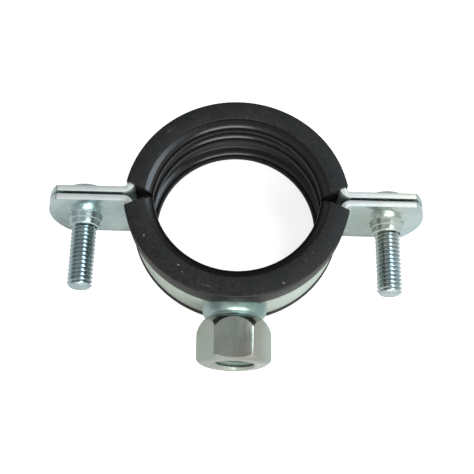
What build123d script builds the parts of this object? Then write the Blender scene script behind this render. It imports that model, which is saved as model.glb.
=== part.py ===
from build123d import *
from math import cos, radians, sqrt, tan
import os

os.makedirs("parts", exist_ok=True)

# Two-piece pipe clamp with a rubber lining. The pipe runs along Z, the two ears lie along X and the
# connection nut points to -Y. The origin is on the pipe's axis, in the plane where the halves part,
# half way up the width of the band. Millimetres.

# Band halves: one pressed steel strip each, an arc with an ear folded out at both ends.
band_width = 20.0
sheet = 1.5
band_inner_r = 24.0
arc_offset = 1.8        # each arc's centre lies this far past the parting plane, so the closed halves
                        # make a lens and meet the pipe before the ears meet each other
ear_gap = 0.6           # between the two ears of a side
bend_r = 1.2            # inside radius of the fold between arc and ear
ear_overhang = 8.4      # from the screw's axis to the tip of an ear
ear_tip_r = 18.0        # wide round tip of an ear
ear_corner_r = 1.2

# Screws and the holes that they pass.
screw_stand_off = 10.6  # from the outside of the arc to a screw's axis
screw_d = 5.9           # M6, over the thread crests
thread_play = 0.05      # radial, between thread crests and the tapped collar
clear_hole_d = 6.6
screw_length = 21.6     # under the head
tip_chamfer = 0.75
head_d = 11.4
head_height = 3.3
head_rim = 1.0          # straight side of the pan head
recess_span = 5.6
recess_slot = 1.1
recess_depth = 1.9
slot_width = 1.2
slot_depth = 1.1

# Tapped collars drawn out of the lower ears.
collar_height = 3.1
collar_root_d = 9.2
collar_rim_d = 7.8

# Rubber lining: a C profile that wraps both edges of the band, with ribs towards the pipe.
edge_cover = 0.8        # rubber past each edge of the band
slot_play = 0.03        # between the band and the slot of the profile
lip_thickness = 0.85
near_lip = 4.2          # how far the lip on the +Z edge reaches over the band
far_lip = 1.5           # the same on the -Z edge
rim_depth = 2.65        # from the band's inner face in to the edge of the rim
rim_wall = 0.85         # height of the plain wall inside each rim
wall = 1.8              # rubber behind the ribs
rib_rise = 2.8
rib_root = 5.4          # width of a rib at its root, and at its crest
rib_crest = 2.0
end_angle = 25.0        # slope of the cut ends against the parting plane

# Connection nut, welded to the crown of the lower band.
nut_af = 15.0
nut_length = 13.5
nut_face_setback = 0.55 # from a flat in to the edge of the front face
nut_face_angle = 38.0
neck_r = 5.0
neck_length = 0.8
shoulder_length = 4.8
weld_leg = 0.9
large_bore_r = 4.25     # M10 thread, tapping size
large_bore_depth = 7.0
small_bore_r = 3.4      # M8 thread, tapping size
mouth_chamfer = 0.8

# Places that follow from the sizes above.
band_outer_r = band_inner_r + sheet
screw_x = band_outer_r + screw_stand_off
ear_end = screw_x + ear_overhang
lining_width = band_width + 2 * edge_cover
rim_inner_r = band_inner_r - rim_depth
valley_r = band_inner_r - wall
crest_r = valley_r - rib_rise
near_rib = lining_width / 2 - rim_wall - rib_root / 2
middle_rib = near_rib - rib_root
far_rib = -near_rib
nut_face_r = nut_af / 2 - nut_face_setback
ear_face = ear_gap / 2
ear_back = ear_face + sheet
crown = band_outer_r - arc_offset
nut_front = crown + nut_length
tip_y = ear_back - screw_length
head_top = ear_back + head_height
fold_y = ear_back + bend_r
fold_end = (fold_y + arc_offset) * band_outer_r / (band_outer_r + bend_r) - arc_offset
lip_x = sqrt(band_outer_r**2 - (fold_end + arc_offset) ** 2)
end_apex = lip_x - fold_end / tan(radians(end_angle))
reach = 2 * ear_end


def draw_strip(side):
    """Section across Z of one band half: side is -1 for the lower half, 1 for the upper half."""
    with BuildSketch(Plane.XY.offset(-band_width / 2)) as strip:
        with Locations((0, -side * arc_offset)):
            Circle(band_outer_r)
        with Locations((0, -side * (reach / 2 - ear_face))):
            Rectangle(2 * reach, reach, mode=Mode.SUBTRACT)
        with Locations((0, side * (ear_face + sheet / 2))):
            Rectangle(2 * (ear_end + 1), sheet)
        with Locations((0, -side * arc_offset)):
            Circle(band_inner_r, mode=Mode.SUBTRACT)
        inner_x = sqrt(band_inner_r**2 - (ear_face + arc_offset) ** 2)
        outer_x = sqrt(band_outer_r**2 - (ear_back + arc_offset) ** 2)
        corners = strip.vertices()
        inner = corners.filter_by(lambda v: abs(abs(v.X) - inner_x) < 0.01 and abs(v.Y) < ear_back)
        fillet(inner, bend_r + sheet)
        corners = strip.vertices()
        outer = corners.filter_by(lambda v: abs(abs(v.X) - outer_x) < 0.01 and abs(v.Y) < fold_y)
        fillet(outer, bend_r)
    return strip


def draw_ear_outline():
    """Outline of the strip seen along Y, with its wide round tips."""
    with BuildSketch(Plane.XZ) as outline:
        half = band_width / 2
        shoulder = ear_end - (ear_tip_r - sqrt(ear_tip_r**2 - half**2))
        with BuildLine():
            top = Line((-shoulder, half), (shoulder, half))
            ThreePointArc(top @ 1, (ear_end, 0), (shoulder, -half))
            bottom = Line((shoulder, -half), (-shoulder, -half))
            ThreePointArc(bottom @ 1, (-ear_end, 0), top @ 0)
        make_face()
        fillet(outline.vertices(), ear_corner_r)
    return outline


def draw_lining_section(centre_y):
    """C profile of the rubber in the plane through the arc's axis: x is the radius, y the height."""
    slot_in = band_inner_r - slot_play
    slot_out = band_outer_r + slot_play
    lip_out = band_outer_r + lip_thickness
    window = band_width - near_lip - far_lip
    plane = Plane(origin=(0, centre_y, 0), x_dir=(1, 0, 0), z_dir=(0, -1, 0))
    with BuildSketch(plane) as section:
        with Locations(((rim_inner_r + lip_out) / 2, 0)):
            Rectangle(lip_out - rim_inner_r, lining_width)
        with Locations((valley_r - 2, 0)):
            Rectangle(4, lining_width - 2 * rim_wall, mode=Mode.SUBTRACT)
        for height in (near_rib, middle_rib, far_rib):
            with BuildLine():
                Polyline(
                    (valley_r, height - rib_root / 2),
                    (crest_r, height - rib_crest / 2),
                    (crest_r, height + rib_crest / 2),
                    (valley_r, height + rib_root / 2),
                    close=True,
                )
            make_face()
        with Locations(((slot_in + slot_out) / 2, 0)):
            Rectangle(slot_out - slot_in, band_width + 2 * slot_play, mode=Mode.SUBTRACT)
        with Locations((lip_out, (far_lip - near_lip) / 2)):
            Rectangle(2 * (lip_out - slot_out) + slot_play, window, mode=Mode.SUBTRACT)
    return section


def draw_lining_keep(side):
    """The part of the ring that one half keeps, with its two sloping ends."""
    rise = (reach - end_apex) * tan(radians(end_angle))
    with BuildSketch(Plane.XY) as keep:
        with BuildLine():
            Polyline(
                (-end_apex, 0),
                (end_apex, 0),
                (reach, side * rise),
                (reach, side * reach),
                (-reach, side * reach),
                (-reach, side * rise),
                close=True,
            )
        make_face()
    return keep


def draw_screw_profile(x):
    """Half section of a screw, from its flat tip to the flat on its pan head."""
    with BuildSketch(Plane.XY) as profile:
        with BuildLine():
            Polyline(
                (x, head_top),
                (x, tip_y),
                (x + screw_d / 2 - tip_chamfer, tip_y),
                (x + screw_d / 2, tip_y + tip_chamfer),
                (x + screw_d / 2, ear_back),
                (x + head_d / 2, ear_back),
                (x + head_d / 2, ear_back + head_rim),
                (x + head_d / 4, head_top),
                close=True,
            )
        make_face()
    return profile


# Lower band: arc, folded ears and the two tapped collars.
with BuildPart() as lower_band:
    extrude(draw_strip(-1).sketch, amount=band_width)
    extrude(draw_ear_outline().sketch, amount=reach, both=True, mode=Mode.INTERSECT)
    for x in (-screw_x, screw_x):
        with BuildSketch(Plane.XY) as collar:
            with BuildLine():
                Polyline(
                    (x, -ear_face - sheet / 2),
                    (x, -ear_back - collar_height),
                    (x + collar_rim_d / 2, -ear_back - collar_height),
                    (x + collar_root_d / 2, -ear_back),
                    (x + collar_root_d / 2, -ear_face - sheet / 2),
                    close=True,
                )
            make_face()
        revolve(axis=Axis((x, 0, 0), (0, 1, 0)))
    with BuildSketch(Plane.XZ):
        with Locations((-screw_x, 0), (screw_x, 0)):
            Circle(screw_d / 2 + thread_play)
    extrude(amount=ear_back + collar_height, both=True, mode=Mode.SUBTRACT)
lower_band.part.label = "lower_band"

# Upper band: the same strip turned over, with plain clearance holes.
with BuildPart() as upper_band:
    extrude(draw_strip(1).sketch, amount=band_width)
    extrude(draw_ear_outline().sketch, amount=reach, both=True, mode=Mode.INTERSECT)
    with BuildSketch(Plane.XZ):
        with Locations((-screw_x, 0), (screw_x, 0)):
            Circle(clear_hole_d / 2)
    extrude(amount=2 * ear_back, both=True, mode=Mode.SUBTRACT)
upper_band.part.label = "upper_band"

# Linings: the C profile swept round each arc and cut off with sloping ends.
with BuildPart() as lower_lining:
    revolve(draw_lining_section(arc_offset).sketch, axis=Axis((0, arc_offset, 0), (0, 0, 1)))
    extrude(draw_lining_keep(-1).sketch, amount=lining_width, both=True, mode=Mode.INTERSECT)
lower_lining.part.label = "lower_lining"

with BuildPart() as upper_lining:
    revolve(draw_lining_section(-arc_offset).sketch, axis=Axis((0, -arc_offset, 0), (0, 0, 1)))
    extrude(draw_lining_keep(1).sketch, amount=lining_width, both=True, mode=Mode.INTERSECT)
upper_lining.part.label = "upper_lining"

# Connection nut: a hexagon turned to a face chamfer in front and to a round shoulder and neck behind,
# where a fillet of weld joins it to the band. It is tapped for two rod sizes, the larger at the mouth.
with BuildPart() as connection_nut:
    with BuildSketch(Plane.XZ.offset(crown - arc_offset)):
        RegularPolygon(nut_af / 2, 6, major_radius=False)
    extrude(amount=nut_length + arc_offset)
    corner_r = nut_af / 2 / cos(radians(30)) + 0.5
    with BuildSketch(Plane.XY):
        front_rise = (corner_r - nut_face_r) * tan(radians(nut_face_angle))
        neck_y = -crown - neck_length
        with BuildLine():
            Polyline(
                (corner_r, neck_y - shoulder_length),
                (neck_r, neck_y),
                (neck_r + weld_leg, -crown),
                (neck_r + weld_leg, -crown + arc_offset),
                (0, -crown + arc_offset),
                (0, -nut_front),
                (nut_face_r, -nut_front),
                (corner_r, -nut_front + front_rise),
                close=True,
            )
        make_face()
    revolve(axis=Axis.Y, mode=Mode.INTERSECT)
    with BuildSketch(Plane.XY.offset(-band_width / 2)):
        with Locations((0, arc_offset)):
            Circle(band_outer_r)
    extrude(amount=band_width, mode=Mode.SUBTRACT)
    with BuildSketch(Plane.XY):
        with BuildLine():
            Polyline(
                (0, -nut_front - 1),
                (large_bore_r + mouth_chamfer + 1, -nut_front - 1),
                (large_bore_r, -nut_front + mouth_chamfer),
                (large_bore_r, -nut_front + large_bore_depth),
                (small_bore_r, -nut_front + large_bore_depth + (large_bore_r - small_bore_r)),
                (small_bore_r, 0),
                (0, 0),
                close=True,
            )
        make_face()
    revolve(axis=Axis.Y, mode=Mode.SUBTRACT)
connection_nut.part.label = "connection_nut"

# Screws: M6 with a pan head that bears on the upper ear and a slotted cross recess.
with BuildPart() as left_screw:
    revolve(draw_screw_profile(-screw_x).sketch, axis=Axis((-screw_x, 0, 0), (0, 1, 0)))
    with BuildSketch(Plane.XZ.offset(-head_top - 1)):
        with Locations((-screw_x, 0)):
            Rectangle(head_d + 1, slot_width)
    extrude(amount=slot_depth + 1, mode=Mode.SUBTRACT)
    with BuildSketch(Plane.XZ.offset(-head_top)):
        with Locations((-screw_x, 0)):
            Rectangle(recess_span, recess_slot)
            Rectangle(recess_slot, recess_span)
    extrude(amount=recess_depth, taper=10, mode=Mode.SUBTRACT)
left_screw.part.label = "left_screw"

with BuildPart() as right_screw:
    revolve(draw_screw_profile(screw_x).sketch, axis=Axis((screw_x, 0, 0), (0, 1, 0)))
    with BuildSketch(Plane.XZ.offset(-head_top - 1)):
        with Locations((screw_x, 0)):
            Rectangle(head_d + 1, slot_width)
    extrude(amount=slot_depth + 1, mode=Mode.SUBTRACT)
    with BuildSketch(Plane.XZ.offset(-head_top)):
        with Locations((screw_x, 0)):
            Rectangle(recess_span, recess_slot)
            Rectangle(recess_slot, recess_span)
    extrude(amount=recess_depth, taper=10, mode=Mode.SUBTRACT)
right_screw.part.label = "right_screw"

export_step(lower_band.part, "parts/lower_band.step")
export_step(upper_band.part, "parts/upper_band.step")
export_step(lower_lining.part, "parts/lower_lining.step")
export_step(upper_lining.part, "parts/upper_lining.step")
export_step(connection_nut.part, "parts/connection_nut.step")
export_step(left_screw.part, "parts/left_screw.step")
export_step(right_screw.part, "parts/right_screw.step")
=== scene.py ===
import math

import bpy
from mathutils import Matrix, Vector


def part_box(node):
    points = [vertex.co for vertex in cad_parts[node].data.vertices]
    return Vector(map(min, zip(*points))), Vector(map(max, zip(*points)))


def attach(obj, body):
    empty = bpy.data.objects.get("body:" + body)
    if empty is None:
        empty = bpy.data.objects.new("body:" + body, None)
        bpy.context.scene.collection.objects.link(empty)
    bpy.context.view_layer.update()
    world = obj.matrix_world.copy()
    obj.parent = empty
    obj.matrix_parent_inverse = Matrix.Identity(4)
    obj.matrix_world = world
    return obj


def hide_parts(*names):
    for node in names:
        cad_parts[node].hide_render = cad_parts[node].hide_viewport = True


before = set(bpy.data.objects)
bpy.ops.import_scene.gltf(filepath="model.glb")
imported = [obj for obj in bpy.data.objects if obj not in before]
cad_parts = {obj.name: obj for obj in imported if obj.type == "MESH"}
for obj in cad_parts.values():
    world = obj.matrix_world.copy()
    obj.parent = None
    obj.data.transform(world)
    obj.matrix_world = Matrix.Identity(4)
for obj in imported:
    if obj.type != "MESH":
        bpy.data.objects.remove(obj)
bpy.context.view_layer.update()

mm = 0.001

# Table and light. The clamp lies on one side of its band on a white table top, under a large soft
# lamp from the front and a weaker one from the right, in a white room.
table_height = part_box("lower_lining")[0].z


def linear(text):
    """An sRGB colour, written as six hex digits, as the linear RGBA that the shaders take."""
    channels = [int(text[i:i + 2], 16) / 255 for i in (0, 2, 4)]
    return [c / 12.92 if c < 0.04045 else ((c + 0.055) / 1.055) ** 2.4 for c in channels] + [1.0]


def add_node(owner, kind, inputs=None, **settings):
    """Adds a node to a material or world: its settings, then values or other outputs for its inputs."""
    tree = owner.node_tree
    node = tree.nodes.new(kind)
    for name, value in settings.items():
        setattr(node, name, value)
    for name, value in (inputs or {}).items():
        if isinstance(value, bpy.types.NodeSocket):
            tree.links.new(value, node.inputs[name])
        else:
            node.inputs[name].default_value = value
    return node


def new_material(name):
    """An empty node material."""
    material = bpy.data.materials.new(name)
    material.use_nodes = True
    material.node_tree.nodes.clear()
    return material


bpy.ops.object.select_all(action="DESELECT")

scene = bpy.context.scene
scene.view_settings.view_transform = "Standard"

room = bpy.data.worlds.new("white_room")
scene.world = room
room.use_nodes = True
room.node_tree.nodes.clear()
wall_fill = 0.56        # how strongly the white walls light the clamp

# What is darker in the room: where it lies, the cosines at which it begins and is full, and how much
# of the light is left there.
dim_parts = (((-0.12, 0.12, 0.985), 0.87, 0.96, 0.5),    # the shaded ceiling over the table
             ((0.0, 1.0, 0.0), 0.3, 0.85, 0.12),         # the dark wall behind
             ((-1.0, 0.0, 0.0), 0.35, 0.9, 0.4))         # a grey wall on the left
direction = add_node(room, "ShaderNodeTexCoord").outputs["Generated"]
path = add_node(room, "ShaderNodeLightPath")
mirrored = add_node(room, "ShaderNodeMath", {
    0: path.outputs["Is Glossy Ray"], 1: path.outputs["Is Transmission Ray"]}, operation="MAXIMUM")
lit = add_node(room, "ShaderNodeMapRange", {
    "Value": mirrored.outputs[0], "To Min": wall_fill, "To Max": 1.0})
light = lit.outputs["Result"]
for towards, start, full, strength in dim_parts:
    facing = add_node(room, "ShaderNodeVectorMath", {0: direction, 1: towards}, operation="DOT_PRODUCT")
    dim = add_node(room, "ShaderNodeMapRange", {
        "Value": facing.outputs["Value"], "From Min": start, "From Max": full, "To Min": 1.0,
        "To Max": strength}, interpolation_type="SMOOTHSTEP")
    light = add_node(room, "ShaderNodeMath", {0: light, 1: dim.outputs["Result"]},
                     operation="MULTIPLY").outputs[0]
level = add_node(room, "ShaderNodeMath", {0: light, 1: path.outputs["Is Camera Ray"]},
                 operation="MAXIMUM")
sky = add_node(room, "ShaderNodeBackground", {"Color": linear("FFFFFF"), "Strength": level.outputs[0]})
add_node(room, "ShaderNodeOutputWorld", {"Surface": sky.outputs["Background"]})


def add_softbox(name, place, width, height, watts, colour):
    """A rectangular lamp, in millimetres, that looks from its place at the middle of the clamp."""
    lamp = bpy.data.lights.new(name, "AREA")
    lamp.shape = "RECTANGLE"
    lamp.size, lamp.size_y = width * mm, height * mm
    lamp.energy = watts
    lamp.color = linear(colour)[:3]
    holder = bpy.data.objects.new(name, lamp)
    scene.collection.objects.link(holder)
    holder.location = Vector(place) * mm
    holder.rotation_euler = (-Vector(place)).to_track_quat("-Z", "Y").to_euler()


add_softbox("front_softbox", (125, -510, 300), 500, 300, 3.6, "FFFDF8")
add_softbox("right_softbox", (215, 125, 420), 180, 180, 0.8, "DDF0FF")

table_radius = 1200
bpy.ops.mesh.primitive_circle_add(vertices=96, radius=table_radius * mm, fill_type="NGON",
                                  location=(0, 0, table_height))
table_top = bpy.context.object
table_top.name = "table_top"
bpy.ops.object.transform_apply(location=True, rotation=True, scale=True)

# Matt white laminate, an even white ground that still takes the clamp's shadow. Its glow lifts it to
# white for the camera alone and lights nothing.
table_glow = 0.78
laminate = new_material("white_table_laminate")
path = add_node(laminate, "ShaderNodeLightPath")
glow = add_node(laminate, "ShaderNodeMath", {
    0: path.outputs["Is Camera Ray"], 1: table_glow}, operation="MULTIPLY")
board = add_node(laminate, "ShaderNodeBsdfPrincipled", {
    "Base Color": linear("EFEFEE"), "Roughness": 0.6, "Specular IOR Level": 0.2,
    "Emission Color": linear("FFFFFF"), "Emission Strength": glow.outputs[0]})
add_node(laminate, "ShaderNodeOutputMaterial", {"Surface": board.outputs["BSDF"]})
table_top.data.materials.append(laminate)

# Camera: a short distance above the front of the clamp, turned a little about the pipe's axis and
# rolled a little about its own line of sight. Its distance and shifts are in mm.
look_down = math.radians(69.702)
clamp_turn = math.radians(1.725)
camera_roll = math.radians(2.991)
camera_distance = 203.916
shift_right, shift_up = -0.133, 5.937
focal_pixels, frame_pixels = 848.401, 474

ahead = Vector((0, math.cos(look_down), -math.sin(look_down)))
flat_right = Vector((1, 0, 0))
flat_up = Vector((0, math.sin(look_down), math.cos(look_down)))
right = flat_right * math.cos(camera_roll) + flat_up * math.sin(camera_roll)
up = flat_up * math.cos(camera_roll) - flat_right * math.sin(camera_roll)
place = -camera_distance * ahead - shift_right * right - shift_up * up
unturn = Matrix.Rotation(-clamp_turn, 3, "Z")
right, up, ahead, place = (unturn @ v for v in (right, up, ahead, place))

lens = bpy.data.cameras.new("camera")
lens.sensor_width = 36.0
lens.lens = focal_pixels / frame_pixels * lens.sensor_width
lens.clip_start, lens.clip_end = 0.01, 10.0
camera = bpy.data.objects.new("camera", lens)
scene.collection.objects.link(camera)
camera.matrix_world = Matrix.Translation(place * mm) @ Matrix((right, up, -ahead)).transposed().to_4x4()
scene.camera = camera

# Bands: two halves pressed from cold rolled steel strip, with ears folded out at both ends, then
# zinc plated and blue passivated. The lower half carries the drawn and tapped collars.
strip_edge_round = 0.18
strip_grain = 0.35      # size in mm of the grain that rolling leaves, drawn coarse enough to show
sheared_grain = 0.25    # size in mm of the roughness of the sheared edges
plating_cloud = 9.0     # size in mm of the clouds of tint in the passivation
along_strip = (0.3, 0.3, 1.0)   # draws the grain out along the strip
all_ways = (1.0, 1.0, 1.0)


def dress_zinc(name, tint, shade, warm, roughness, grain, stretch, metal=1.0):
    """Bright zinc with a thin passivation: a cold grey metal with faint clouds and a fine grain.

    It is duller and paler the less metal it is given."""
    material = new_material(name)
    place = add_node(material, "ShaderNodeTexCoord").outputs["Object"]
    clouds = add_node(material, "ShaderNodeTexNoise", {
        "Vector": place, "Scale": 1 / (plating_cloud * mm), "Detail": 3.0, "Roughness": 0.55})
    drawn = add_node(material, "ShaderNodeMapping", {"Vector": place, "Scale": stretch})
    fine = add_node(material, "ShaderNodeTexNoise", {
        "Vector": drawn.outputs["Vector"], "Scale": 1 / (grain * mm), "Detail": 4.0, "Roughness": 0.6})
    cloudy = add_node(material, "ShaderNodeMapRange", {
        "Value": clouds.outputs["Fac"], "From Min": 0.35, "From Max": 0.65})
    base = add_node(material, "ShaderNodeMix", {
        0: cloudy.outputs["Result"], 6: linear(tint), 7: linear(shade)}, data_type="RGBA")
    stained = add_node(material, "ShaderNodeTexNoise", {
        "Vector": place, "Scale": 1 / (2.5 * plating_cloud * mm), "Detail": 2.0})
    stain = add_node(material, "ShaderNodeMapRange", {
        "Value": stained.outputs["Fac"], "From Min": 0.5, "From Max": 0.75, "To Max": 0.6})
    colour = add_node(material, "ShaderNodeMix", {
        0: stain.outputs["Result"], 6: base.outputs[2], 7: linear(warm)}, data_type="RGBA")
    matt = add_node(material, "ShaderNodeMapRange", {
        "Value": fine.outputs["Fac"], "From Min": 0.3, "From Max": 0.7,
        "To Min": roughness - 0.07, "To Max": roughness + 0.08})
    relief = add_node(material, "ShaderNodeBump", {
        "Height": fine.outputs["Fac"], "Distance": 0.01 * mm, "Strength": 0.5})
    skin = add_node(material, "ShaderNodeBsdfPrincipled", {
        "Base Color": colour.outputs[2], "Metallic": metal, "Roughness": matt.outputs["Result"],
        "Normal": relief.outputs["Normal"]})
    add_node(material, "ShaderNodeOutputMaterial", {"Surface": skin.outputs["BSDF"]})
    return material


# Rolled strip is a soft blue-grey mirror. Where it is bent to the arc its plating is duller and more
# even, and its sheared edges are pale and matt.
zinc_strip = dress_zinc("zinc_plated_rolled_strip", "B7C8CA", "A7B9BA", "B8BBAF", 0.24,
                        strip_grain, along_strip, 0.92)
zinc_arc = dress_zinc("zinc_plated_bent_strip", "BAC6BE", "ACB8AF", "BABBAB", 0.5,
                      strip_grain, along_strip, 0.6)
zinc_edge = dress_zinc("zinc_plated_sheared_edge", "D4D8D5", "C6CDCA", "D5CEBC", 0.45,
                       sheared_grain, all_ways, 0.35)


def copy_node(name, node):
    """A piece that starts as a merged copy of a CAD node's mesh, with its flat faces made whole."""
    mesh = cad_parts[node].data.copy()
    mesh.name = name
    piece = bpy.data.objects.new(name, mesh)
    scene.collection.objects.link(piece)
    bpy.ops.object.select_all(action="DESELECT")
    bpy.context.view_layer.objects.active = piece
    piece.select_set(True)
    bpy.ops.object.mode_set(mode="EDIT")
    bpy.ops.mesh.select_all(action="SELECT")
    bpy.ops.mesh.customdata_custom_splitnormals_clear()
    bpy.ops.mesh.remove_doubles(threshold=0.001 * mm)
    bpy.ops.mesh.dissolve_limited(angle_limit=math.radians(0.2))
    bpy.ops.object.mode_set(mode="OBJECT")
    return piece


def finish_with(piece, kind, **settings):
    """Adds a modifier to a piece and applies it."""
    bpy.ops.object.select_all(action="DESELECT")
    bpy.context.view_layer.objects.active = piece
    piece.select_set(True)
    modifier = piece.modifiers.new(kind.lower(), kind)
    for name, value in settings.items():
        setattr(modifier, name, value)
    bpy.ops.object.modifier_apply(modifier=modifier.name)


def smooth(piece, degrees):
    """Shades a piece smooth, except over its sharp edges."""
    bpy.ops.object.select_all(action="DESELECT")
    bpy.context.view_layer.objects.active = piece
    piece.select_set(True)
    bpy.ops.object.shade_smooth_by_angle(angle=math.radians(degrees))


def paint(piece, material):
    """Gives a piece one material all over."""
    piece.data.materials.clear()
    piece.data.materials.append(material)


def trace(name, points):
    """Draws a line through points given in mm, by extruding one vertex along it."""
    bpy.ops.object.select_all(action="DESELECT")
    bpy.ops.mesh.primitive_plane_add(size=mm, location=(0, 0, 0))
    piece = bpy.context.object
    piece.name = piece.data.name = name
    bpy.ops.object.mode_set(mode="EDIT")
    bpy.ops.mesh.select_mode(type="VERT")
    bpy.ops.mesh.select_all(action="SELECT")
    bpy.ops.mesh.merge(type="CENTER")
    here = Vector(points[0])
    bpy.ops.transform.translate(value=here * mm)
    for point in points[1:]:
        step = (Vector(point) - here) * mm
        bpy.ops.mesh.extrude_region_move(TRANSFORM_OT_translate={"value": step})
        here = Vector(point)
    return piece


def turn(name, outline, x, steps):
    """A closed solid turned about an axis along Y at x, from (radius, y) points in mm, end to end."""
    piece = trace(name, [(r, y, 0) for r, y in outline])
    bpy.ops.mesh.select_all(action="SELECT")
    bpy.ops.mesh.spin(steps=steps, angle=2 * math.pi, center=(0, 0, 0), axis=(0, 1, 0))
    bpy.ops.mesh.select_all(action="SELECT")
    bpy.ops.mesh.remove_doubles(threshold=0.001 * mm)
    bpy.ops.mesh.normals_make_consistent(inside=False)
    bpy.ops.transform.translate(value=(x * mm, 0, 0))
    bpy.ops.object.mode_set(mode="OBJECT")
    return piece


def combine(piece, tool, operation):
    """Cuts a piece with a tool, or joins the two into one solid, and removes the tool."""
    finish_with(piece, "BOOLEAN", object=tool, operation=operation, solver="EXACT")
    bpy.data.objects.remove(tool)


collar_x = 36.1         # how far out the collars and the screws stand
fold_x = 26.5           # the strip is bent to its arc within this, and the ears begin past it
edge_plane = 9.9        # what lies further out than this is a sheared edge
facing = 0.9            # the least that a face's normal has along an axis that it faces

# What is cut away round a collar, as (radius, y): it leaves two stepped rings with rounded rims.
collar_rings = [(4.4, -1.79), (4.12, -1.88), (3.98, -2.15), (3.95, -3.05), (3.88, -3.25),
                (3.66, -3.38), (3.6, -3.5), (3.62, -4.3), (3.55, -4.65), (3.36, -4.84), (3.1, -4.91),
                (3.1, -6), (7, -6), (7, -1.79)]

for half in ("lower", "upper"):
    band = copy_node(half + "_band_strip", half + "_band")
    finish_with(band, "BEVEL", width=strip_edge_round * mm, segments=2, limit_method="ANGLE",
                angle_limit=math.radians(35), harden_normals=False, use_clamp_overlap=True)
    if half == "lower":
        for x in (-collar_x, collar_x):
            combine(band, turn("collar_cutter", collar_rings + collar_rings[:1], x, 72), "DIFFERENCE")
    smooth(band, 30)
    paint(band, zinc_strip)
    band.data.materials.append(zinc_edge)
    band.data.materials.append(zinc_arc)
    for face in band.data.polygons:
        if abs(face.normal.z) > facing and abs(face.center.z) > edge_plane * mm:
            face.material_index = 1
        elif abs(face.center.x) < fold_x * mm:
            face.material_index = 2
    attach(band, half + "_half")
    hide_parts(half + "_band")

# Linings: one length of extruded EPDM profile in each half, clipped over both edges of the band. It
# has three wide ribs and a thin bead towards the pipe, and is cut off at a slope at both ends.
arc_offset = 1.8        # how far the centre of each arc lies past the plane where the halves meet
half_width = 10.8
rim_r, valley_r, crest_r, bead_crest_r = 21.35, 22.2, 19.4, 20.7
rim_wall = 0.3          # width of the step between the rim and the first valley
slot_in, slot_out, slot_half = 23.97, 25.53, 10.03
lips_out = {"lower": (26.2, 25.78), "upper": (25.95, 25.95)}    # outer radii of the near and far lips
near_lip_low, far_lip_high = 4.7, -8.4
ribs = (8.05, 2.7, -6.9)
rib_root, rib_crest = 4.5, 3.2
bead_height, bead_root = -3.85, 1.6
crest_round, root_round, bead_round = 1.25, 0.35, 0.45
rim_round, lip_round, near_lip_round, far_lip_round = 0.25, 0.5, 0.25, 0.2
sweep = math.radians(190)       # further than half a turn, so that the ends can be cut off at a slope
end_apex, end_slope, end_round = 19.0, math.radians(25), 0.12
rib_inset, rim_inset = 0.05, 0.4    # how far inside the rim, inwards and along Z, the ribs' smoother rubber with its painted shade begins


def near(point, target):
    """Whether a vertex lies at a place given in mm."""
    return (point / mm - Vector(target)).length < 0.02


def round_corners(piece, corners, radius, steps):
    """Rounds the corners of a flat profile that lie at the given places."""
    bpy.ops.mesh.select_all(action="DESELECT")
    bpy.ops.object.mode_set(mode="OBJECT")
    for vertex in piece.data.vertices:
        vertex.select = any(near(vertex.co, corner) for corner in corners)
    bpy.ops.object.mode_set(mode="EDIT")
    bpy.ops.mesh.bevel(affect="VERTICES", offset_type="OFFSET", offset=radius * mm, segments=steps,
                       profile=0.5)


def corner_at(r, z):
    """A corner of the lining's section, drawn across the crown of an arc with its centre at zero."""
    return (0, r, z)


rubber_grain = 0.5      # size in mm of the matt grain that extrusion leaves
rubber_cloud = 4.5      # size in mm of the brownish bloom on the outside
dust_spacing = 4.5      # mean distance in mm between specks of dust
scuff_spacing = 11.0    # mean distance in mm between scuff lines


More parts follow.
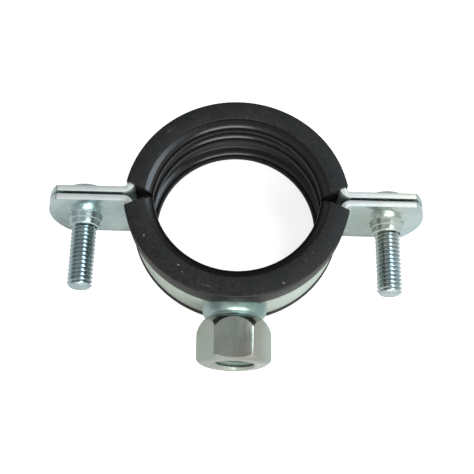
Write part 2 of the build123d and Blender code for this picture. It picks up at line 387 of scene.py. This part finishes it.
def mould_rubber(name, dark, brown, gloss, matt, dirt, rise, shine):
    """Black EPDM with a brownish bloom, a fine grain, and specks of dust and scuffs as far as dirt says."""
    material = new_material(name)
    place = add_node(material, "ShaderNodeTexCoord").outputs["Object"]
    bloom = add_node(material, "ShaderNodeTexNoise", {
        "Vector": place, "Scale": 1 / (rubber_cloud * mm), "Detail": 4.0, "Roughness": 0.65})
    grain = add_node(material, "ShaderNodeTexNoise", {
        "Vector": place, "Scale": 1 / (rubber_grain * mm), "Detail": 3.0, "Roughness": 0.6})
    bloomed = add_node(material, "ShaderNodeMapRange", {
        "Value": bloom.outputs["Fac"], "From Min": 0.4, "From Max": 0.62})
    black = add_node(material, "ShaderNodeMix", {
        0: bloomed.outputs["Result"], 6: linear(dark), 7: linear(brown)}, data_type="RGBA")
    uneven = add_node(material, "ShaderNodeMapRange", {
        "Value": grain.outputs["Fac"], "From Min": 0.35, "From Max": 0.65, "To Min": 0.45, "To Max": 1.6})
    mottled = add_node(material, "ShaderNodeVectorMath", {
        0: black.outputs[2], 3: uneven.outputs["Result"]}, operation="SCALE")
    dust = add_node(material, "ShaderNodeTexVoronoi", {"Vector": place, "Scale": 1 / (dust_spacing * mm)})
    speck = add_node(material, "ShaderNodeMapRange", {
        "Value": dust.outputs["Distance"], "From Min": 0.04, "From Max": 0.07, "To Min": dirt,
        "To Max": 0.0})
    lines = add_node(material, "ShaderNodeTexWave", {
        "Vector": place, "Scale": 1 / (scuff_spacing * mm), "Distortion": 3.0, "Detail": 0.0,
        "Detail Scale": 0.6}, wave_type="RINGS", rings_direction="Z")
    line = add_node(material, "ShaderNodeMapRange", {
        "Value": lines.outputs["Fac"], "From Min": 0.994, "From Max": 0.999, "To Max": 0.7 * dirt})
    kept = add_node(material, "ShaderNodeMapRange", {
        "Value": bloom.outputs["Fac"], "From Min": 0.6, "From Max": 0.66})
    scuff = add_node(material, "ShaderNodeMath", {
        0: line.outputs["Result"], 1: kept.outputs["Result"]}, operation="MULTIPLY")
    marks = add_node(material, "ShaderNodeMath", {
        0: speck.outputs["Result"], 1: scuff.outputs[0]}, operation="MAXIMUM")
    dusty = add_node(material, "ShaderNodeMix", {
        0: marks.outputs[0], 6: mottled.outputs["Vector"], 7: linear("8F8B84")}, data_type="RGBA")
    rough = add_node(material, "ShaderNodeMapRange", {
        "Value": grain.outputs["Fac"], "From Min": 0.3, "From Max": 0.7, "To Min": gloss, "To Max": matt})
    relief = add_node(material, "ShaderNodeBump", {
        "Height": grain.outputs["Fac"], "Distance": 0.03 * mm, "Strength": rise})
    skin = add_node(material, "ShaderNodeBsdfPrincipled", {
        "Base Color": dusty.outputs[2], "Roughness": rough.outputs["Result"], "IOR": 1.5,
        "Specular IOR Level": shine, "Normal": relief.outputs["Normal"]})
    add_node(material, "ShaderNodeOutputMaterial", {"Surface": skin.outputs["BSDF"]})
    return material


# The rubber is a matt brownish black with dust on it. On the ribs it is smoother and less dusty, so that
# they catch long highlights, and its colour there is painted a deeper black as painted shade for the inside
# of the ring.
epdm = mould_rubber("extruded_epdm_rubber", "191A1A", "22201E", 0.42, 0.6, 0.6, 0.6, 0.25)
epdm_inside_painted_shade = mould_rubber("epdm_rubber_inside_painted_shade", "0A0A0A", "0E0D0C", 0.19, 0.29, 0.1, 0.12, 0.38)

for half, side in (("lower", -1), ("upper", 1)):
    centre_y = -side * arc_offset
    near_out, far_out = lips_out[half]
    top, wall_top = half_width, half_width - rim_wall
    section = [(rim_r, top), (near_out, top), (near_out, near_lip_low), (slot_out, near_lip_low),
               (slot_out, slot_half), (slot_in, slot_half), (slot_in, -slot_half), (slot_out, -slot_half),
               (slot_out, far_lip_high), (far_out, far_lip_high), (far_out, -top), (rim_r, -top),
               (rim_r, -wall_top), (valley_r, -wall_top)]
    crests, roots = [], []
    for z in reversed(ribs):
        if z == ribs[1]:    # the bead lies between the middle rib and the far one
            section += [(valley_r, bead_height - bead_root / 2), (bead_crest_r, bead_height),
                        (valley_r, bead_height + bead_root / 2)]
        crests += [(crest_r, z - rib_crest / 2), (crest_r, z + rib_crest / 2)]
        roots += [(valley_r, z - rib_root / 2), (valley_r, z + rib_root / 2)]
        section += [roots[-2], crests[-2], crests[-1], roots[-1]]
    section += [(valley_r, wall_top), (rim_r, wall_top), (rim_r, top)]
    # A corner that comes twice in a row is drawn once.
    outline = [p for i, p in enumerate(section) if i == 0 or p != section[i - 1]]
    lining = trace(half + "_lining_profile", [corner_at(r, z) for r, z in outline])
    bpy.ops.mesh.select_all(action="SELECT")
    bpy.ops.mesh.remove_doubles(threshold=0.001 * mm)
    bpy.ops.mesh.edge_face_add()
    inner = [(rim_r, top), (rim_r, -top)]
    round_corners(lining, [corner_at(r, z) for r, z in crests], crest_round, 6)
    round_corners(lining, [corner_at(r, z) for r, z in roots], root_round, 2)
    round_corners(lining, [corner_at(bead_crest_r, bead_height)], bead_round, 4)
    round_corners(lining, [corner_at(r, z) for r, z in inner], rim_round, 3)
    round_corners(lining, [corner_at(near_out, top), corner_at(far_out, -top)], lip_round, 4)
    round_corners(lining, [corner_at(near_out, near_lip_low)], near_lip_round, 3)
    round_corners(lining, [corner_at(far_out, far_lip_high)], far_lip_round, 3)
    bpy.ops.mesh.select_all(action="SELECT")
    bpy.ops.transform.rotate(value=sweep / 2, orient_axis="Z", center_override=(0, 0, 0))
    bpy.ops.mesh.spin(steps=120, angle=sweep, center=(0, 0, 0), axis=(0, 0, -1))
    bpy.ops.mesh.select_all(action="SELECT")
    bpy.ops.mesh.remove_doubles(threshold=0.001 * mm)
    bpy.ops.mesh.normals_make_consistent(inside=False)
    if side < 0:
        bpy.ops.transform.rotate(value=math.pi, orient_axis="Z", center_override=(0, 0, 0))
    bpy.ops.transform.translate(value=(0, centre_y * mm, 0))
    for end in (-1, 1):
        bpy.ops.mesh.select_all(action="SELECT")
        outward = Vector((end * math.sin(end_slope), -side * math.cos(end_slope), 0))
        bpy.ops.mesh.bisect(plane_co=(end * end_apex * mm, 0, 0), plane_no=outward, use_fill=True,
                            clear_outer=True, threshold=0.0001 * mm)
    bpy.ops.object.mode_set(mode="OBJECT")
    finish_with(lining, "BEVEL", width=end_round * mm, segments=2, limit_method="ANGLE",
                angle_limit=math.radians(50), use_clamp_overlap=True)
    smooth(lining, 32)
    paint(lining, epdm)
    lining.data.materials.append(epdm_inside_painted_shade)
    axis = Vector((0, centre_y * mm, 0))
    # Faces inside the rim take the smoother, less dusty rubber, whose deeper black is painted shade.
    for face in lining.data.polygons:
        inward = (face.center - axis).to_2d().length < (rim_r - rib_inset) * mm
        face.material_index = int(inward and abs(face.center.z) < (top - rim_inset) * mm)
    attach(lining, half + "_half")
    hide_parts(half + "_lining")

# Connection nut: cold formed hexagonal steel, rounded in front and drawn in to a neck behind, where
# it is welded to the crown of the lower band. It is tapped M10 at the mouth and M8 behind, and zinc
# plated with the band.
nut_across = 15.0
nut_front, crown = -37.2, -23.7
bar_back = -20.0        # the hexagonal bar reaches past the crown, and is cut back to it
side_edge_round, rim_edge_round = 0.27, 0.36
front_round = (6.2, 2.6, 2.1)   # radius where the front starts to round, and how far out and back it goes
blank_r = 9.2

# Outlines of the shoulder and of the weld bead, as (radius, y).
shoulder = [(blank_r, -32.5), (9.0, -31.4), (8.66, -30.1), (8.2, -28.85), (7.5, -27.65), (6.95, -27.1),
            (6.55, -26.85)]
weld = [(6.4, -26.7), (6.44, -26.45), (6.63, -26.2), (6.92, -25.95), (7.14, -25.6), (7.3, -25.1),
        (7.4, -24.5), (7.45, -23.9), (7.45, crown + 2)]
outer_band_r = 25.5
mouth_r, m10_bore_r, m8_bore_r = 6.05, 4.25, 3.4
m10_thread = (4.2, 5.0, 1.5)    # radii at the roots and the crests of the tap, and its pitch
m8_thread = (3.35, 4.0, 1.25)
bore_r, mouth_depth = 5.1, 0.9      # what is within this radius, and this deep or more, is the bore
weld_edge = -26.8       # what is behind this is the weld bead
forged_grain, weld_grain, tapped_grain = 0.6, 1.2, 0.6      # sizes in mm of the grain of each finish
along_nut = (1.0, 0.25, 1.0)    # draws the grain out along the nut's axis


def wind_thread(name, root_r, crest_r, pitch, low, high, x):
    """A solid bar with a rolled V thread along Y at x, cut off flat at both ends. All in mm."""
    turns = math.ceil((high - low) / pitch) + 3
    start = low - 1.5 * pitch
    flank = 0.36 * pitch
    land = (pitch - 2 * flank) / 2
    piece = trace(name, [(root_r, start, 0), (root_r, start + land, 0), (crest_r, start + land + flank, 0),
                         (crest_r, start + 2 * land + flank, 0), (root_r, start + pitch, 0)])
    bpy.ops.object.mode_set(mode="OBJECT")
    finish_with(piece, "SCREW", axis="Y", angle=2 * math.pi, screw_offset=pitch * mm, iterations=turns,
                steps=40, render_steps=40, use_merge_vertices=True, merge_threshold=0.001 * mm)
    bpy.ops.object.mode_set(mode="EDIT")
    for y, side in ((low, -1), (high, 1)):
        bpy.ops.mesh.select_all(action="SELECT")
        bpy.ops.mesh.bisect(plane_co=(0, y * mm, 0), plane_no=(0, side, 0), use_fill=True,
                            clear_outer=True, threshold=0.0001 * mm)
    bpy.ops.mesh.select_all(action="SELECT")
    bpy.ops.mesh.remove_doubles(threshold=0.001 * mm)
    bpy.ops.mesh.normals_make_consistent(inside=False)
    bpy.ops.transform.translate(value=(x * mm, 0, 0))
    bpy.ops.object.mode_set(mode="OBJECT")
    return piece


# The formed flats are clear grey mirrors with a brown stain or two. The weld bead is duller and greener,
# and the tapped bore duller still.
zinc_nut = dress_zinc("zinc_plated_cold_formed_nut", "ABB2AA", "9BA29A", "8A7668", 0.2,
                      forged_grain, along_nut)
zinc_weld = dress_zinc("zinc_plated_weld_bead", "AEBDBA", "7E9994", "9C958A", 0.32,
                       weld_grain, all_ways)
zinc_bore = dress_zinc("zinc_plated_tapped_thread", "A6B5B0", "8CA19B", "A8A294", 0.35,
                       tapped_grain, all_ways, 0.6)

corner_r = nut_across / 2 / math.cos(math.radians(30))
bpy.ops.object.select_all(action="DESELECT")
bpy.ops.mesh.primitive_cylinder_add(vertices=6, radius=corner_r * mm, depth=(bar_back - nut_front) * mm,
                                    location=(0, (nut_front + bar_back) / 2 * mm, 0),
                                    rotation=(math.pi / 2, math.pi / 6, 0))
nut = bpy.context.object
nut.name = nut.data.name = "connection_nut_forged"
bpy.ops.object.transform_apply(location=True, rotation=True, scale=True)
bpy.ops.object.mode_set(mode="EDIT")
bpy.ops.mesh.select_mode(type="EDGE")
bpy.ops.mesh.select_all(action="DESELECT")
bpy.ops.object.mode_set(mode="OBJECT")
for edge in nut.data.edges:
    a, b = (nut.data.vertices[i].co for i in edge.vertices)
    edge.select = abs(a.y - b.y) > mm
bpy.ops.object.mode_set(mode="EDIT")
bpy.ops.mesh.bevel(affect="EDGES", offset=side_edge_round * mm, segments=3)
bpy.ops.object.mode_set(mode="OBJECT")

start_r, out, back = front_round
front = [(start_r + out * math.sin(a), nut_front + back - back * math.cos(a))
         for a in [math.radians(9 * i) for i in range(10)]]
blank = turn("nut_blank", [(0, nut_front)] + front + [(blank_r, nut_front + back + 0.5)] + shoulder + weld
             + [(0, crown + 2)], 0, 144)
combine(nut, blank, "INTERSECT")
finish_with(nut, "BEVEL", width=rim_edge_round * mm, segments=3, limit_method="ANGLE",
            angle_limit=math.radians(26), use_clamp_overlap=True)
bpy.ops.mesh.primitive_cylinder_add(vertices=360, radius=outer_band_r * mm, depth=40 * mm,
                                    location=(0, arc_offset * mm, 0))
combine(nut, bpy.context.object, "DIFFERENCE")
bore = turn("nut_bore", [(0, nut_front - 1), (mouth_r, nut_front - 1), (m10_bore_r, nut_front + 0.8),
                         (m10_bore_r, nut_front + 7.0), (m8_bore_r, nut_front + 7.85), (m8_bore_r, 0),
                         (0, 0)], 0, 96)
combine(nut, bore, "DIFFERENCE")
combine(nut, wind_thread("m10_tap", *m10_thread, nut_front - 1, nut_front + 7.2, 0), "DIFFERENCE")
combine(nut, wind_thread("m8_tap", *m8_thread, nut_front + 7.4, crown + 1.5, 0), "DIFFERENCE")
smooth(nut, 24)
paint(nut, zinc_nut)
nut.data.materials.append(zinc_weld)
nut.data.materials.append(zinc_bore)
for face in nut.data.polygons:
    around = math.hypot(face.center.x, face.center.z)
    if around < bore_r * mm and face.center.y > (nut_front + mouth_depth) * mm:
        face.material_index = 2
    elif face.center.y > weld_edge * mm:
        face.material_index = 1
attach(nut, "lower_half")
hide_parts("connection_nut")

# Screws: two M6 machine screws with pan heads and a slotted cross recess, cold headed and thread
# rolled, then zinc plated. They pass the upper ears and turn in the tapped collars of the lower ones.
m6_thread = (2.36, 2.95, 1.0)   # radii at the roots and the crests, and the pitch
screw_tip, under_head, head_top = -19.8, 1.8, 5.1
tip_chamfer = [(2.1, 0.0), (2.3, 0.08), (3.2, 1.0)]     # as (radius, distance from the tip)
head_r, head_flat_r, head_side = 5.7, 2.4, 1.0
shank_r, shank_length = 2.55, 0.8       # the plain part under the head
recess_span, recess_slot, recess_depth, recess_taper = 5.6, 1.1, 1.9, 0.7
slot_width, slot_depth, slot_taper = 1.2, 1.1, 0.92
screw_grain = 0.4       # size in mm of the grain that rolling and plating leave

# A clear blue-grey mirror, bright on every crest of the thread.
zinc_screw = dress_zinc("zinc_plated_machine_screw", "B6C7CB", "9FAEB1", "AEABA1", 0.24,
                        screw_grain, all_ways)


def cut_slot(piece, x, size, depth, taper):
    """Presses a straight slot into the crown of a head; its floor is narrower than its mouth."""
    height = depth + 1
    bpy.ops.object.select_all(action="DESELECT")
    bpy.ops.mesh.primitive_cube_add(size=1, location=(x * mm, (head_top + 1 - height / 2) * mm, 0),
                                    scale=(size[0] * mm, height * mm, size[1] * mm))
    tool = bpy.context.object
    bpy.ops.object.transform_apply(location=True, rotation=True, scale=True)
    for vertex in tool.data.vertices:
        vertex.select = vertex.co.y < head_top * mm - depth * mm * 0.5
    bpy.ops.object.mode_set(mode="EDIT")
    bpy.ops.transform.resize(value=(taper, 1, taper), center_override=(x * mm, 0, 0))
    bpy.ops.object.mode_set(mode="OBJECT")
    combine(piece, tool, "DIFFERENCE")


for side, x in (("left", -collar_x), ("right", collar_x)):
    screw = wind_thread(side + "_machine_screw", *m6_thread, screw_tip - 0.5, under_head - 0.4, x)
    limit_r = tip_chamfer[-1][0]
    limit = turn("tip_limit", [(0, screw_tip)] + [(r, screw_tip + inward) for r, inward in tip_chamfer]
                 + [(limit_r, under_head + 1), (0, under_head + 1)], x, 64)
    combine(screw, limit, "INTERSECT")
    dome = [(head_flat_r + (head_r - head_flat_r) * math.sin(a), under_head + head_side
             + (head_top - under_head - head_side) * math.cos(a))
            for a in [math.radians(10 * i) for i in range(10)]]
    head = turn("pan_head", [(0, head_top)] + dome
                + [(head_r, under_head + 0.2), (head_r - 0.2, under_head), (shank_r, under_head),
                   (shank_r, under_head - shank_length), (0, under_head - shank_length)], x, 72)
    combine(screw, head, "UNION")
    cut_slot(screw, x, (head_r * 2 + 1, slot_width), slot_depth, slot_taper)
    cut_slot(screw, x, (recess_span, recess_slot), recess_depth, recess_taper)
    cut_slot(screw, x, (recess_slot, recess_span), recess_depth, recess_taper)
    smooth(screw, 28)
    paint(screw, zinc_screw)
    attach(screw, side + "_screw_body")
    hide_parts(side + "_screw")
